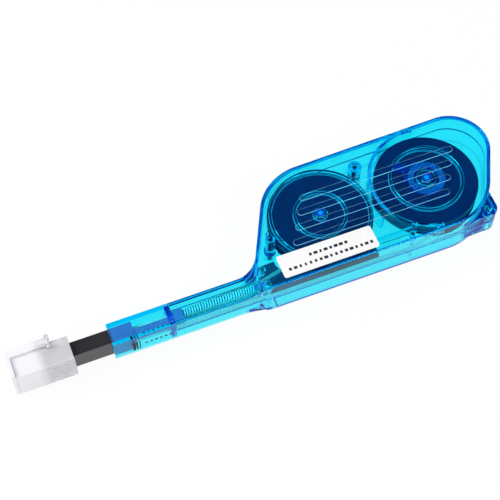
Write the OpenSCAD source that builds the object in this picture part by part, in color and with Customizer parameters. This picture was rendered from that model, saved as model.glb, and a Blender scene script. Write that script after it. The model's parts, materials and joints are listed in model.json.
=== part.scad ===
// One-click cleaner for multi-fibre push-on connectors, with its guide cap on.
// X runs from the nose to the tail, Y across the case, Z through its thickness.
// The modules draw with the take-up reel's axis at x = 0 and the barrel's axis at y = 0.
// placed() then moves the whole part so that its origin is the middle of its base.

/* [Case] */
// Thickness of the head over its two flat faces
case_t = 18; // [17:0.5:20]
// Side wall of the head
wall = 1.4; // [1.2:0.1:1.8]
// Top and bottom wall of the head
skin = 1.6; // [1.3:0.1:1.8]
// Width of the barrel
barrel_w = 9.8; // [9.6:0.1:10.4]
// Thickness of the barrel and of the tail
barrel_t = 11.6; // [11.5:0.1:12.2]
// Wall of the barrel behind the bulkhead
barrel_wall = 1.3; // [1.1:0.1:1.4]
// Distance from the take-up axis forward to the front of the barrel
barrel_reach = 95.3; // [94:0.5:105]
// Length of the one-piece sleeve at the front of the barrel
sleeve_len = 24.3; // [23.5:0.1:25]
// How much wider than the barrel the head is on the near side
near_step = 0.5; // [0.3:0.1:1.5]
// Radius of the rear top corner of the head
rear_corner_r = 15.8; // [12:0.2:20]
// Reach of the rear corner past the supply axis
rear_reach = 31.4; // [29:0.2:36]
// Rise of the top edge from the front lobe to the rear corner
top_rise = 1.4; // [0.2:0.2:4]
// Radius of the front near corner of the head
shoulder_r = 5; // [3:0.5:6]
// Distance from the take-up axis forward to the centre of that corner
shoulder_reach = 31.5; // [31:0.5:33]
// Radius of the hollow fillet between barrel and head
fillet_r = 10; // [6:0.5:14]
// Length over which the barrel swells to the head's thickness
flare_len = 13.5; // [10:0.5:16]
// Distance from the take-up axis forward to the foot of the head's flat face
plateau_reach = 28.5; // [27:0.5:30]
// Distance from the supply axis back to the end of the tail
tail_reach = 21.2; // [20:0.2:26]
// Radius of the strap hole through the tail
strap_hole_r = 1.5; // [1:0.1:1.6]
// Height of the rim that locates the two shells on each other
rim_h = 0.8; // [0.4:0.1:1.2]

/* [Grip] */
// Number of raised grip ribs on the top face
grip_count = 4; // [2:1:5]
// Width of a grip rib
grip_w = 2.7; // [1.5:0.1:3.5]
// Spacing of the grip ribs
grip_pitch = 6.15; // [5:0.05:7]
// Length of a grip rib
grip_len = 67.6; // [50:0.2:70]
// Height of the grip ribs over the face
grip_h = 0.5; // [0.3:0.1:0.8]
// Step from one rib to the next along the case
grip_step = 3.4; // [0:0.1:4]

/* [Label] */
// Length of the label
label_len = 40.1; // [30:0.1:44]
// Width of the label
label_w = 10.2; // [7:0.1:11]
// Thickness of the label
label_t = 0.12; // [0.05:0.01:0.2]

/* [Reels] */
// Radius of the reel flanges
reel_r = 21.4; // [20:0.2:22]
// Gap between the two reels
reel_apart = 4; // [3.2:0.2:9]
// Gap between a flange and the case round it
reel_gap = 0.6; // [0.4:0.1:1]
// Lane between the reels and the near wall, where the tape runs
lane_w = 2.8; // [2.4:0.1:4]
// Radius of the two axles
axle_r = 2; // [1.6:0.1:2.4]
// Running clearance round an axle
axle_fit = 0.08; // [0.03:0.01:0.1]
// Radius of a spool's drum
drum_r = 5; // [4.4:0.1:6]
// Thickness of a spool's lower flange
flange_t = 0.8; // [0.6:0.1:1]
// Thickness of the disc that closes a spool
disc_t = 1.2; // [0.8:0.1:1.4]
// Radius of the neck that a disc seats on
neck_r = 4; // [3.4:0.1:4.3]
// Number of face teeth on the supply crown
crown_teeth = 36; // [24:1:48]
// Outer radius of the supply crown
crown_r = 7.6; // [7:0.1:8.4]
// Height of the supply crown
crown_h = 1.8; // [1.2:0.1:2]

/* [Tape] */
// Width of the cleaning tape
tape_w = 3.2; // [2.6:0.1:3.4]
// Thickness of the cleaning tape
tape_t = 0.14; // [0.1:0.01:0.2]
// Radius of the clean tape on the supply spool
supply_pack_r = 18; // [12:0.5:19]
// Radius of the used tape on the take-up spool
take_up_pack_r = 8.5; // [7:0.5:12]
// Radius of the tape guide pins
guide_pin_r = 0.8; // [0.6:0.05:0.9]

/* [Drive] */
// Stroke of the nose into the case
stroke = 12; // [8:0.5:12]
// Module of the rack and its gear
tooth_module = 1; // [0.9:0.01:1.05]
// Number of teeth on the drive gear
gear_teeth = 24; // [22:1:25]
// Backlash between rack and gear
backlash = 0.3; // [0.2:0.05:0.5]
// Number of teeth on the rack
rack_teeth = 12; // [10:1:13]
// Gap kept between pieces that slide or turn past each other
gap = 0.3; // [0.2:0.05:0.4]
// Number of saw teeth on the rim of the take-up spool
rim_teeth = 60; // [40:1:72]
// Depth of those saw teeth
rim_tooth_h = 0.5; // [0.3:0.1:0.7]

/* [Spring] */
// Diameter of the spring wire
wire_d = 0.45; // [0.3:0.05:0.5]
// Outer diameter of the return spring
spring_d = 3.2; // [2.8:0.1:3.4]
// Number of turns of the return spring
spring_turns = 28; // [20:1:30]
// Diameter of the push rod that the spring sits on
rod_d = 1.6; // [1.2:0.1:1.8]

/* [Nose] */
// Width of the nose tube
nose_w = 6.1; // [6:0.1:6.4]
// Height of the nose tube
nose_h = 9.3; // [9.1:0.1:9.5]
// Wall of the nose tube
nose_wall = 0.75; // [0.6:0.05:0.8]
// Reach of the nose in front of the barrel
nose_reach = 26.2; // [25:0.2:30]
// Clearance of the nose tube in the sleeve
nose_fit = 0.15; // [0.1:0.05:0.3]
// Depth from the mouth of the nose to the wiping tip at rest
tip_depth = 10.5; // [9:0.5:12]
// Length of the soft pad at the tip
pad_len = 5; // [3:0.5:8]

/* [Cap] */
// Length of the guide cap
cap_len = 22.5; // [21:0.5:26]
// Width of the guide cap
cap_w = 10; // [9.6:0.1:11]
// Height of the guide cap
cap_h = 13.8; // [13:0.1:14.4]
// Width of the plug socket in the cap
socket_w = 6.9; // [6.6:0.1:7.4]
// Height of the plug socket in the cap
socket_h = 10.1; // [9.8:0.1:10.6]
// Depth of the plug socket
socket_depth = 10.5; // [8:0.5:11.5]
// Clearance of the cap on the nose
cap_fit = 0.1; // [0.05:0.05:0.2]
// Length of nose that the cap leaves bare
bare_nose = 15.2; // [14:0.2:18]
// Thickness of the lid
lid_t = 1.5; // [1.2:0.1:1.8]
// Radius of the lid's hinge pin
lid_pin_r = 0.5; // [0.4:0.05:0.6]

/* [Hidden] */
$fn = 96;
eps = 0.01;
arc_step = 4;

shell_colour = [0.05, 0.55, 0.95, 0.55];
black_plastic = [0.08, 0.08, 0.09];
clear_plastic = [0.9, 0.9, 0.95, 0.6];

// Levels through the thickness, from the base up
mid = case_t / 2;
roof = case_t - skin;
tape_lo = mid - tape_w / 2;
tape_hi = mid + tape_w / 2;
flange_hi = tape_lo - gap;
flange_lo = flange_hi - flange_t;
gear_hi = flange_lo - gap;
gear_lo = skin + 0.7;
slider_lo = skin + 2 * gap;
disc_rib_lo = tape_hi + gap;
disc_hi = roof - 2.6;
disc_lo = disc_hi - disc_t;
barrel_lo = mid - barrel_t / 2;
barrel_hi = mid + barrel_t / 2;

// Small sizes and allowances
rebate_wall = 0.65;
seat_play = 0.05;
tape_off_wall = 0.73;
roof_ring_t = 1.1;
take_up_ring_r = 10.9;
supply_ring_r = 15.3;
supply_wall_r = reel_r + reel_gap + 0.6;
disc_ring_r = (drum_r + reel_r) / 2;
joint_pin_r = 1;

// Places across the case
barrel_y = barrel_w / 2;
near_y = barrel_y + near_step;
reel_spacing = 2 * reel_r + reel_apart;
near_in = near_y - wall;
barrel_in_y = barrel_y - barrel_wall;
barrel_in_z = barrel_t / 2 - barrel_wall;
reel_y = lane_w + reel_r - near_in;
pitch_r = tooth_module * gear_teeth / 2;
rack_y = reel_y - pitch_r;
lane_y = near_in - tape_off_wall;

// The head's outline: corner circles as [x, y, radius], anticlockwise from the front near corner
lobe_r = reel_r + reel_gap + wall;
lobe_ahead = 0.8;
head = [
    [-shoulder_reach, shoulder_r - near_y, shoulder_r],
    [reel_spacing, reel_y, reel_y + near_y],
    [reel_spacing + rear_reach - rear_corner_r, reel_y + lobe_r + top_rise - rear_corner_r, rear_corner_r],
    [-lobe_ahead, reel_y, lobe_r]
];

// Places along the case
front_x = -barrel_reach;
seam_x = front_x + sleeve_len;
bulkhead_t = 2;
bulkhead_x = seam_x - 1.2;
nose_front = front_x - nose_reach;
nose_rear = bulkhead_x - stroke - 1.8;
collar_x = bulkhead_x + bulkhead_t + gap;
collar_t = 3.9;
seat_t = 1.4;
seat_x = -plateau_reach - 7.1;
post_x = seat_x + seat_t + 1.8;
post_len = 2.4;
rod_z = mid + 2.6;
pin_x = post_x + 1.1;
supply_pin_x = reel_spacing - 16.8;
slider_x = post_x + post_len + 1;
slider_end = supply_pin_x - stroke - 0.7;
slider_near = -1.1;
tip_x = nose_front + tip_depth;
tail_x = reel_spacing + tail_reach;
cap_rear = front_x - bare_nose;
cap_front = cap_rear - cap_len;
lid_front = cap_front - gap / 3 - lid_t;

// Front joint pin: this far off the take-up reel and off the head's slanted front wall
pin_off_reel = 2.32;
pin_off_front = 3.72;
front_angle = side_angle(head[3], head[0]);
pin_out = lobe_r - lobe_ahead * cos(front_angle) - wall - pin_off_front;
pin_down = sqrt(pow(reel_r + pin_off_reel, 2) - pin_out * pin_out);

// Places of the pins that join the two shells, each with its boss radius
joint_pins = [
    [pin_out * cos(front_angle) - pin_down * sin(front_angle),
     reel_y + pin_out * sin(front_angle) + pin_down * cos(front_angle), 1.9],
    [reel_spacing / 2 - 1.8, reel_y + 0.705 * reel_r, 2.8]
];
strap_place = [tail_x - 4, 3.3 - barrel_y];

// Corners that the grip ribs and the label start from, and the wall beside the tape lane
grip_place = [-0.743 * reel_r, reel_y - 0.551 * reel_r];
label_place = [3.7 - plateau_reach, 0.6 - near_in];
lane_wall_from = [0.7 * reel_r, 0.2];
lane_wall_to = [reel_spacing - 13.5, 0.9];

// The part's own box, for its origin
middle_x = (lid_front + reel_spacing + rear_reach) / 2;
middle_y = (reel_y + lobe_r + top_rise - near_y) / 2;

module placed() { translate([-middle_x, -middle_y, 0]) children(); }
module slab(low, high) { translate([0, 0, low]) linear_extrude(high - low) children(); }
module box(low, high) { translate(low) cube(high - low); }
module at_take_up() { translate([0, reel_y, 0]) children(); }
module at_supply() { translate([reel_spacing, reel_y, 0]) children(); }

// A tube or ring round the Z axis
module ring(outer, inner, low, high) {
    slab(low, high) difference() {
        circle(outer);
        circle(inner);
    }
}

// Angle of the outward normal on the straight side that leaves corner a for corner b
function side_angle(a, b) =
    let (d = [b[0] - a[0], b[1] - a[1]])
    atan2(d[1], d[0]) - acos((a[2] - b[2]) / norm(d));

function arc(centre, r, from, to) =
    let (steps = max(2, ceil(abs(to - from) / arc_step)))
    [for (k = [0:steps]) let (a = from + (to - from) * k / steps)
        [centre[0] + r * cos(a), centre[1] + r * sin(a)]];

function corner_arc(c, i, inset) =
    let (
        n = len(c),
        from = side_angle(c[(i + n - 1) % n], c[i]),
        leave = side_angle(c[i], c[(i + 1) % n]),
        to = leave + 360 * ceil((from - leave) / 360)
    )
    arc(c[i], c[i][2] - inset, from, to);

function outline(c, inset) = [for (i = [0:len(c) - 1]) each corner_arc(c, i, inset)];

module head_shape(inset) { polygon(outline(head, inset)); }

// The hollow fillet where the barrel's far edge meets the head's slanted front edge
module fillet_shape() {
    a = side_angle(head[3], head[0]);
    n = [cos(a), sin(a)];
    reach = head[0][0] * n[0] + head[0][1] * n[1] + head[0][2];
    cy = barrel_y + fillet_r;
    c = [(reach + fillet_r - n[1] * cy) / n[0], cy];
    corner = [(reach - n[1] * barrel_y) / n[0], barrel_y];
    polygon(concat(
        [[c[0], barrel_y - 1]],
        arc(c, fillet_r, -90, a + 180),
        [c - (fillet_r + 1) * n, corner + [2, -2]]
    ));
}

module barrel_shape() {
    translate([seam_x, -barrel_y]) square([-shoulder_reach - seam_x, barrel_w]);
}

// Side view of barrel and head: a smooth swell from the barrel's thickness to the head's
function swell(t) = t * t * (3 - 2 * t);
function swell_line(sign) =
    [for (k = [0:12]) let (t = k / 12)
        [-plateau_reach - flare_len * (1 - t),
         mid + sign * (barrel_t + (case_t - barrel_t) * swell(t)) / 2]];

module side_profile() {
    ahead = seam_x - 1;
    behind = reel_spacing + rear_reach + 1;
    polygon(concat(
        [[ahead, barrel_lo]], swell_line(-1), [[behind, 0], [behind, case_t]],
        [for (p = [12:-1:0]) swell_line(1)[p]], [[ahead, barrel_hi]]
    ));
}

// The tail: a block beside the round rear of the head, with the strap hole through it
module tail_shape() {
    corner = 4;
    rise = 8.4;
    polygon(concat(
        [[reel_spacing, -barrel_y]],
        arc([tail_x - corner, corner - barrel_y], corner, -90, 0),
        [[tail_x, rise], [reel_spacing, rise]]
    ));
}

// Both shells before they are hollowed and parted
module case_block() {
    intersection() {
        slab(0, case_t) {
            head_shape(0);
            barrel_shape();
            fillet_shape();
        }
        translate([0, near_y + reel_y + lobe_r + 20, 0]) rotate([90, 0, 0])
            linear_extrude(2 * (near_y + reel_y + lobe_r + 20)) side_profile();
    }
    slab(barrel_lo, barrel_hi) difference() {
        tail_shape();
        head_shape(wall / 2);
    }
}

module head_room(inset, low, high) {
    intersection() {
        slab(low, high) head_shape(inset);
        box([post_x - 1, -near_y, low - 1], [reel_spacing + rear_reach, reel_y + lobe_r + 5, high + 1]);
    }
}

module case_room() {
    head_room(wall, skin, roof);
    box([seam_x - 1, -barrel_in_y, mid - barrel_in_z], [post_x + 1, barrel_in_y, mid + barrel_in_z]);
    // rebate for the bulkhead
    box([seam_x - 1, -barrel_y + rebate_wall, barrel_lo + rebate_wall],
        [bulkhead_x + bulkhead_t + 0.1, barrel_y - rebate_wall, barrel_hi - rebate_wall]);
}

// Part of the round wall between the two reels, over a range of angles round the supply axis
module supply_wall(from, to, low, high) {
    at_supply() intersection() {
        ring(supply_wall_r + wall, supply_wall_r, low, high);
        slab(low - 1, high + 1) polygon(concat([[0, 0]], arc([0, 0], 2 * reel_r, from, to)));
        slab(low - 1, high + 1) translate([-reel_spacing, -reel_y]) head_shape(wall - eps);
    }
}

module pin_bosses(low, high) {
    for (p = joint_pins) translate([p[0], p[1], 0]) ring(p[2], joint_pin_r + 0.02, low, high);
}

module guide_bosses(low, high) {
    for (p = guide_places) translate([p[0], p[1], 0])
        ring(guide_pin_r + 0.5, guide_pin_r + 0.02, low, high);
}

// Tape guide pins, each on the inner side of a bend in the tape
pin_off = guide_pin_r + tape_t / 2 + 0.03;
guide_places = [
    [pin_x, -lane_y + pin_off],
    [pin_x, lane_y + pin_off],
    [supply_pin_x, -lane_y + pin_off]
];

module grip_ribs() {
    for (i = [0:grip_count - 1]) {
        x = grip_place[0] + grip_step * i;
        y = grip_place[1] + grip_pitch * i;
        slab(case_t - eps, case_t + grip_h) {
            translate([x + grip_w / 2, y]) square([grip_len - grip_w, grip_w]);
            for (end = [grip_w / 2, grip_len - grip_w / 2])
                translate([x + end, y + grip_w / 2]) circle(grip_w / 2);
        }
    }
}

module top_shell() {
    color(shell_colour) {
        difference() {
            intersection() {
                case_block();
                box([seam_x, -near_y - 1, mid], [reel_spacing + rear_reach + 1, 60, case_t + 1]);
            }
            case_room();
            head_room(wall - rebate_wall, mid - 1, mid + rim_h + 0.1);
            translate(strap_place) cylinder(h = case_t, r = strap_hole_r);
        }
        grip_ribs();
        pin_bosses(mid + rim_h, roof + eps);
        guide_bosses(disc_hi + gap, roof + eps);
        at_take_up() {
            ring(reel_r - 0.8, reel_r - 0.8 - roof_ring_t, disc_hi + gap, roof + eps);
            ring(take_up_ring_r, take_up_ring_r - roof_ring_t, disc_hi + gap, roof + eps);
            ring(axle_r + 1, axle_r + 0.02, disc_hi + gap, roof + eps);
        }
        at_supply() {
            ring(supply_ring_r, supply_ring_r - roof_ring_t, disc_hi + gap, roof + eps);
            ring(neck_r, axle_r + 0.02, disc_hi + gap, roof + eps);
        }
        // wall beside the tape lane, between the two reels
        slab(tape_hi + 1, roof + eps) translate(lane_wall_from) square(lane_wall_to - lane_wall_from);
        // rib across that lane, near the tape's way out of the supply reel
        box([reel_spacing - 6.2, -near_in + gap, tape_lo - 1],
            [reel_spacing - 5.4, -near_in + 1.8, roof + eps]);
        supply_wall(80, 230, mid + rim_h + 0.1, roof + eps);
        supply_wall(229, 262, tape_hi + 1, roof + eps);
        spring_seat();
    }
}

// Seat that the return spring pushes against, slotted from below for the push rod
module spring_seat() {
    difference() {
        box([seat_x, -spring_d / 2, tape_hi - 0.8], [seat_x + seat_t, spring_d / 2, mid + barrel_in_z + eps]);
        translate([seat_x - 1, 0, rod_z]) rotate([0, 90, 0]) cylinder(h = seat_t + 2, d = rod_d + 2 * gap);
        box([seat_x - 1, -rod_d / 2 - gap, mid], [seat_x + seat_t + 1, rod_d / 2 + gap, rod_z]);
    }
}

module bottom_shell() {
    color(shell_colour) {
        difference() {
            intersection() {
                case_block();
                box([seam_x, -near_y - 1, -1], [reel_spacing + rear_reach + 1, 60, mid]);
            }
            case_room();
            translate(strap_place) cylinder(h = case_t, r = strap_hole_r);
        }
        // rim that stands into the top shell
        difference() {
            head_room(wall - rebate_wall + seat_play, mid - eps, mid + rim_h);
            slab(mid - 1, mid + rim_h + 1) head_shape(wall);
            box([-plateau_reach - 20, -near_y, mid - 1], [-plateau_reach + 1, reel_y, mid + rim_h + 1]);
        }
        pin_bosses(skin - eps, mid);
        guide_bosses(skin - eps, slider_lo);
        for (x = [0, reel_spacing]) translate([x, reel_y, 0]) {
            cylinder(h = roof - 0.2, r = axle_r);
            ring(axle_r + 2.2, axle_r, skin - eps, gear_lo - gap);
        }
        at_supply() ring(drum_r, axle_r, skin - eps, flange_lo - 2 * gap);
        supply_wall(80, 200, skin - eps, mid + rim_h);
        // rails under the slider
        rail_w = 0.8;
        for (y = [slider_near + 0.2, rack_y - 5 * rail_w])
            box([slider_x, y, skin - eps], [slider_end + stroke, y + rail_w, slider_lo - gap]);
        // cradle that holds the rear end of the tip carrier
        difference() {
            box([seat_x, -barrel_in_y - eps, mid - barrel_in_z - eps],
                [seat_x + seat_t, barrel_in_y + eps, mid - 1.9]);
            slot_y = carrier_y + seat_play;
            box([seat_x - 1, -slot_y, mid - barrel_in_z], [seat_x + seat_t + 1, slot_y, mid]);
        }
    }
}

module front_sleeve() {
    bore_y = nose_w / 2 + nose_fit;
    bore_z = nose_h / 2 + nose_fit;
    color(shell_colour) difference() {
        box([front_x, -barrel_y, barrel_lo], [seam_x, barrel_y, barrel_hi]);
        box([front_x - 1, -bore_y, mid - bore_z], [seam_x + 1, bore_y, mid + bore_z]);
        box([bulkhead_x - 0.1, -barrel_y + rebate_wall, barrel_lo + rebate_wall],
            [seam_x + 1, barrel_y - rebate_wall, barrel_hi - rebate_wall]);
    }
}

// Tongue of the nose, seen from behind: low and high corner across the case
tongue_lo = [-nose_w / 2, tape_hi + 0.4];
tongue_hi = [-gap, mid + barrel_in_z - 0.1];

module bulkhead() {
    edge = rebate_wall + seat_play;
    color([0.1, 0.35, 0.8]) difference() {
        box([bulkhead_x, -barrel_y + edge, barrel_lo + edge],
            [bulkhead_x + bulkhead_t, barrel_y - edge, barrel_hi - edge]);
        box([bulkhead_x - 1, -carrier_y - tape_t - 0.1, tape_lo - 0.3],
            [bulkhead_x + bulkhead_t + 1, carrier_y + tape_t + 0.1, tape_hi + 0.2]);
        box([bulkhead_x - 1, tongue_lo[0] - gap / 2, tape_hi],
            [bulkhead_x + bulkhead_t + 1, tongue_hi[0] + gap / 2, tongue_hi[1] + gap / 2]);
    }
}

module case_pins() {
    color("dimgray") for (p = joint_pins) translate([p[0], p[1], skin + 0.6])
        cylinder(h = case_t - 2 * skin - 1.2, r = joint_pin_r);
}

module guide_pins() {
    color("silver") for (p = guide_places) translate([p[0], p[1], skin + 0.1])
        cylinder(h = roof - skin - 0.2, r = guide_pin_r);
}

module label() {
    corner = 1;
    color("white") slab(case_t, case_t + label_t) translate(label_place) {
        translate([corner, 0]) square([label_len - 2 * corner, label_w]);
        translate([0, corner]) square([label_len, label_w - 2 * corner]);
        for (x = [corner, label_len - corner], y = [corner, label_w - corner])
            translate([x, y]) circle(corner);
    }
}

// Half width of the carrier, between the two strands of tape
carrier_y = nose_w / 2 - nose_wall - gap - tape_t;

module tip_carrier() {
    color([0.75, 0.78, 0.8]) {
        box([tip_x + pad_len, -carrier_y, tape_lo - 0.1], [collar_x + 1, carrier_y, tape_hi + 0.1]);
        box([collar_x, -carrier_y, mid - barrel_in_z + 0.3], [seat_x + seat_t, carrier_y, mid - 0.1]);
    }
}

module wiping_pad() {
    r = carrier_y;
    color([0.55, 0.56, 0.58]) slab(tape_lo - 0.1, tape_hi + 0.1) {
        translate([tip_x + tape_t + r, 0]) circle(r);
        translate([tip_x + tape_t + r, -r]) square([pad_len - tape_t - r, 2 * r]);
    }
}

module bar(p, q, thick) {
    d = q - p;
    translate(p) rotate(atan2(d[1], d[0])) translate([-thick / 4, -thick / 2])
        square([norm(d) + thick / 2, thick]);
}
module strand(p, q) { bar(p, q, tape_t); }

// Point where a line that faces the angle n touches circle c
function touch(c, n) = [c[0] + c[2] * cos(n), c[1] + c[2] * sin(n)];

// Corner of the tape round a guide pin, between the two angles that its straight runs face
function bend(pin, from, to) =
    let (half = (to - from) / 2)
    touch([pin[0], pin[1], pin_off / cos(half)], from + half);

module tape_run() {
    y = carrier_y + tape_t / 2;
    tip = tip_x + tape_t + carrier_y;
    feed_pin = [guide_places[2][0], guide_places[2][1], pin_off];
    feed_reel = [reel_spacing, reel_y, supply_pack_r + gap + tape_t / 2];
    feed_n = side_angle(feed_pin, feed_reel);
    wind_pin = [guide_places[1][0], guide_places[1][1], pin_off];
    wind_reel = [0, reel_y, take_up_pack_r + gap + tape_t / 2];
    wind_n = side_angle(wind_pin, wind_reel);
    color("white") slab(tape_lo, tape_hi) {
        // from the supply spool along the near wall and out to the tip
        strand(bend(feed_pin, -90, feed_n), touch(feed_reel, feed_n));
        strand([pin_x, -lane_y], bend(feed_pin, -90, feed_n));
        strand([bulkhead_x, -y], [pin_x, -lane_y]);
        strand([tip, -y], [bulkhead_x, -y]);
        difference() {
            translate([tip, 0]) circle(carrier_y + tape_t);
            translate([tip, 0]) circle(carrier_y);
            translate([tip, -5]) square([10, 10]);
        }
        // back from the tip and on to the take-up spool
        strand([tip, y], [bulkhead_x, y]);
        strand([bulkhead_x, y], bend(wind_pin, -92, wind_n));
        strand(bend(wind_pin, -92, wind_n), touch(wind_reel, wind_n));
    }
}

// The return spring: one wire, wound at a steady pitch, each end straight along the rod
spring_x0 = collar_x + collar_t + 0.05;
spring_x1 = seat_x - 0.05;
coil_r = (spring_d - wire_d) / 2;
rings_a_turn = 8;
coil_steps = rings_a_turn * spring_turns;
function coil_point(k) =
    let (a = 360 * k / rings_a_turn)
    [spring_x0 + wire_d + (spring_x1 - spring_x0 - 2 * wire_d) * k / coil_steps,
     coil_r * cos(a), rod_z + coil_r * sin(a)];
spring_line = concat(
    [[spring_x0, coil_r, rod_z]],
    [for (k = [0:coil_steps]) coil_point(k)],
    [[spring_x1, coil_point(coil_steps)[1], coil_point(coil_steps)[2]]]
);
spring_gap = min([for (k = [0:coil_steps - rings_a_turn], j = [4:8])
    norm(coil_point(k + j) - coil_point(k))]) - wire_d;
echo("least gap of the spring to itself", spring_gap);

// A ring of points round the wire, in the plane that holds the rod's direction or, at the ends, square to it
function wire_ring(k) =
    let (
        last = len(spring_line) - 1,
        p = spring_line[k],
        square_end = k == 0 || k == last,
        before = spring_line[max(k - 1, 0)],
        after = spring_line[min(k + 1, last)],
        along = square_end ? [1, 0, 0] : (after - before) / norm(after - before),
        outward = [0, p[1], p[2] - rod_z] / coil_r,
        u = outward - (outward * along) * along,
        v = cross(along, u / norm(u))
    )
    [for (s = [0:5]) p + wire_d / 2 * (cos(60 * s) * u / norm(u) + sin(60 * s) * v)];

module return_spring() {
    rings = len(spring_line);
    points = [for (k = [0:rings - 1]) each wire_ring(k)];
    sides = [for (k = [0:rings - 2], s = [0:5]) let (a = 6 * k + s, b = 6 * k + (s + 1) % 6)
        each [[a, a + 6, b + 6], [a, b + 6, b]]];
    ends = [for (s = [1:4]) each [[0, s, s + 1], [6 * rings - 6, 6 * rings - 5 + s, 6 * rings - 6 + s]]];
    color("silver") polyhedron(points, concat(sides, ends));
}

// Leaf that keeps the take-up spool from turning back, drawn lifted clear of the saw teeth.
// It clips round a boss, with the clip's mouth towards the spool.
module reverse_stop() {
    p = joint_pins[0];
    boss_r = p[2] + 0.02;
    leaf_t = 0.5;
    at = atan2(p[1] - reel_y, p[0]) + 360;
    leaf_from = [p[0], p[1] - reel_y] + leaf_t * [cos(at), sin(at)]
        + (boss_r + 0.7 * leaf_t) * [sin(at), -cos(at)];
    leaf_to = (reel_r + gap + leaf_t / 2) * [cos(at - 20), sin(at - 20)];
    color("gold") slab(flange_lo + 0.1, flange_hi + 0.9) {
        translate([p[0], p[1]]) difference() {
            circle(boss_r + leaf_t);
            circle(boss_r);
            polygon(concat([[0, 0]], arc([0, 0], 5, at - 180 - 50, at - 180 + 50)));
        }
        translate([0, reel_y]) bar(leaf_from, leaf_to, leaf_t);
    }
}

module drag_washer() {
    color([0.75, 0.7, 0.6]) at_supply()
        ring(drum_r - 0.2, axle_r + 0.1, flange_lo - 2 * gap, flange_lo - seat_play);
}

// Spring finger on the top shell that clicks over the supply crown
module crown_click() {
    low = disc_hi + 0.4;
    r = crown_r + 0.8;
    root_r = supply_ring_r - roof_ring_t - 0.2;
    color([0.1, 0.45, 0.9]) at_supply() {
        intersection() {
            ring(r + 0.7, r, low, roof - 0.05);
            slab(0, case_t) polygon(concat([[0, 0]], arc([0, 0], 20, 100, 170)));
        }
        rotate(135) box([r + 0.5, -1.2, low], [root_r, 1.2, roof - 0.05]);
        rotate(104) box([crown_r + gap, -0.4, low], [r + 0.3, 0.4, disc_hi + crown_h]);
    }
}

module nose_tube() {
    y = nose_w / 2;
    z = nose_h / 2;
    color(black_plastic) {
        difference() {
            box([nose_front, -y, mid - z], [nose_rear, y, mid + z]);
            box([nose_front - 1, -y + nose_wall, mid - z + nose_wall],
                [nose_rear + 1, y - nose_wall, mid + z - nose_wall]);
        }
        box([nose_rear - 4, tongue_lo[0], tongue_lo[1]], [collar_x, tongue_hi[0], tongue_hi[1]]);
    }
}

// The post that joins the rod to the slider passes between the tape strands, inside these two
post_y = [-0.9, 1.3];

module push_rod() {
    color(black_plastic) {
        box([collar_x, tongue_lo[0], tongue_lo[1]], [collar_x + collar_t, spring_d / 2, tongue_hi[1]]);
        translate([collar_x + collar_t - eps, 0, rod_z]) rotate([0, 90, 0])
            cylinder(h = post_x - collar_x - collar_t + 2 * eps, d = rod_d);
        box([post_x, post_y[0], slider_lo], [post_x + post_len, post_y[1], rod_z + rod_d / 2 + 0.2]);
    }
}

// Straight-sided rack tooth, its tip towards the gear
module rack_tooth() {
    half = PI * tooth_module / 4 - backlash / 4;
    lean = tan(20);
    root = 1.25 * tooth_module;
    tip = tooth_module;
    polygon([
        [-half - root * lean, -root - 0.5], [half + root * lean, -root - 0.5],
        [half + root * lean, -root], [half - tip * lean, tip], [-half + tip * lean, tip],
        [-half - root * lean, -root]
    ]);
}

module slider_rack() {
    pitch = PI * tooth_module;
    back_y = rack_y - 1.25 * tooth_module;
    slider_corner = 1.8;
    color(black_plastic) {
        box([post_x + post_len, post_y[0], slider_lo], [slider_x + 1, post_y[1], gear_hi]);
        slab(slider_lo, gear_hi) polygon(concat(
            [[slider_end, back_y], [slider_x, back_y]],
            arc([slider_x + slider_corner, slider_near + slider_corner], slider_corner, 180, 270),
            arc([slider_end - slider_corner, slider_near + slider_corner], slider_corner, -90, 0)
        ));
        // block at the front that the post pulls on, clear of the front joint pin
        box([slider_x, back_y - eps, slider_lo],
            [slider_x + 5.6, joint_pins[0][1] - joint_pins[0][2] - 2.5, gear_hi]);
        slab(slider_lo, gear_hi) for (k = [0:rack_teeth - 1])
            translate([(k - rack_teeth + 3.5) * pitch, rack_y]) rack_tooth();
    }
}

// Involute flank of the gear: angle from the tooth's middle at radius r
base_r = pitch_r * cos(20);
function roll(r) = let (a = acos(min(1, base_r / r))) tan(a) * 180 / PI - a;
function flank(r) =
    (PI * tooth_module / 2 - backlash / 2) / (2 * pitch_r) * 180 / PI + roll(pitch_r) - roll(r);
function tooth_points(mid_angle) =
    let (
        root_r = pitch_r - 1.25 * tooth_module,
        radii = [root_r, base_r, pitch_r - 0.2, pitch_r + 0.4, pitch_r + tooth_module]
    )
    concat(
        [for (r = radii) r * [cos(mid_angle - flank(r)), sin(mid_angle - flank(r))]],
        [for (i = [4:-1:0]) let (r = radii[i]) r * [cos(mid_angle + flank(r)), sin(mid_angle + flank(r))]]
    );

module drive_gear() {
    color([0.85, 0.86, 0.88]) at_take_up() {
        difference() {
            slab(gear_lo, gear_hi)
                polygon([for (k = [0:gear_teeth - 1]) each tooth_points(-90 + 360 * k / gear_teeth)]);
            cylinder(h = case_t, r = axle_r + axle_fit);
            ring(ratchet_r + 0.5, 0, gear_hi - pocket_h, gear_hi + 1);
        }
        ring(axle_r + 1.2, axle_r + axle_fit, gear_lo, gear_hi);
    }
}

// Ratchet ring under the take-up spool and the pocket that it stands in
ratchet_r = pitch_r - 3.2;
pocket_h = 1.9;
ratchet_teeth = 24;

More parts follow.
